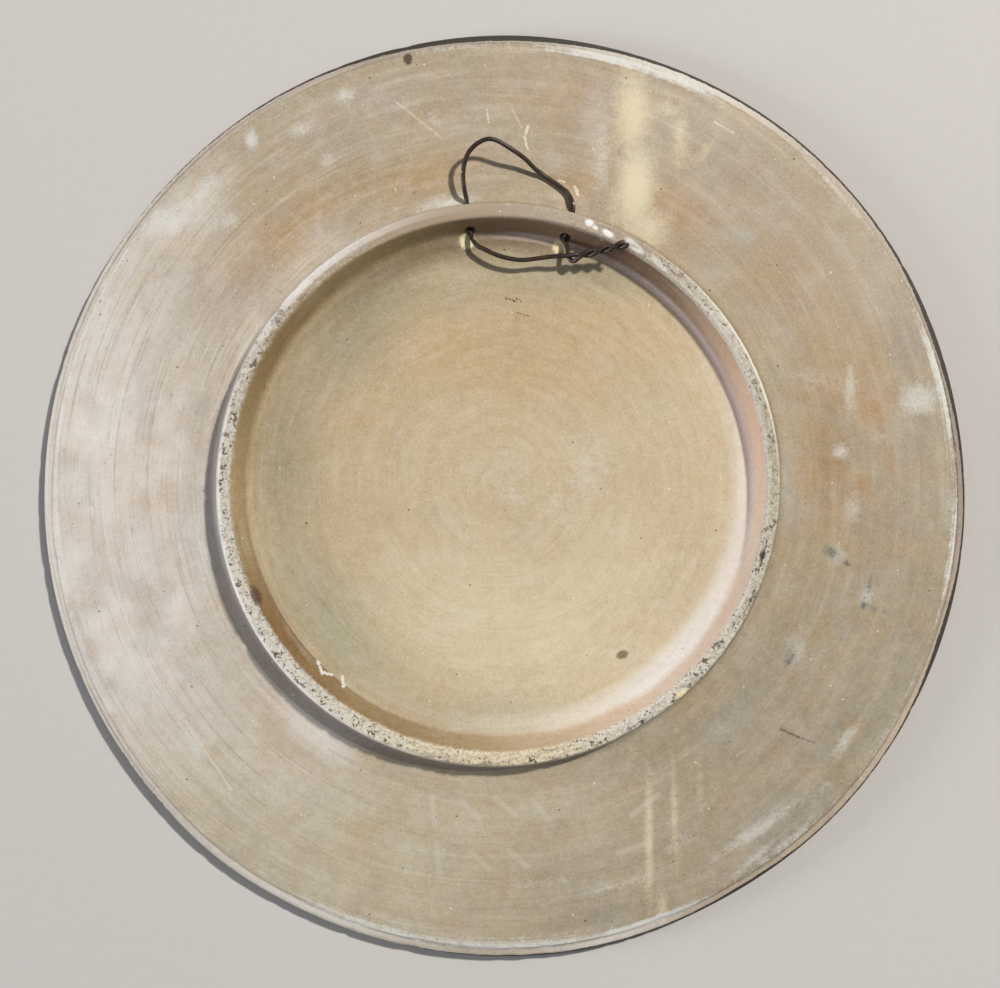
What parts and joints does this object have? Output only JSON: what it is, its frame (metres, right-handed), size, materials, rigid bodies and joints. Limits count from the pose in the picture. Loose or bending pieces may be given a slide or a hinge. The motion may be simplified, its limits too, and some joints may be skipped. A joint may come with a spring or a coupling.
{
  "type": "hanging plate",
  "caption": "Shallow round painted terracotta plate with a turned foot ring and a bent iron wire hanger through the ring, lying face down.",
  "frame": {"origin": "under the centre of the rim, on the plane that the rim's lip rests on when the plate lies face down", "axes": "+Z out of the plate's back, +Y towards the wire hanger, which is up when the plate hangs, +X to the right as the back is looked at"},
  "size_m": [0.33, 0.33, 0.0296],
  "materials": {
    "clay": "matte",
    "iron": "satin"
  },
  "bodies": {
    "root": {"plate": "clay", "wire_hanger": "iron"}
  },
  "joints": []
}
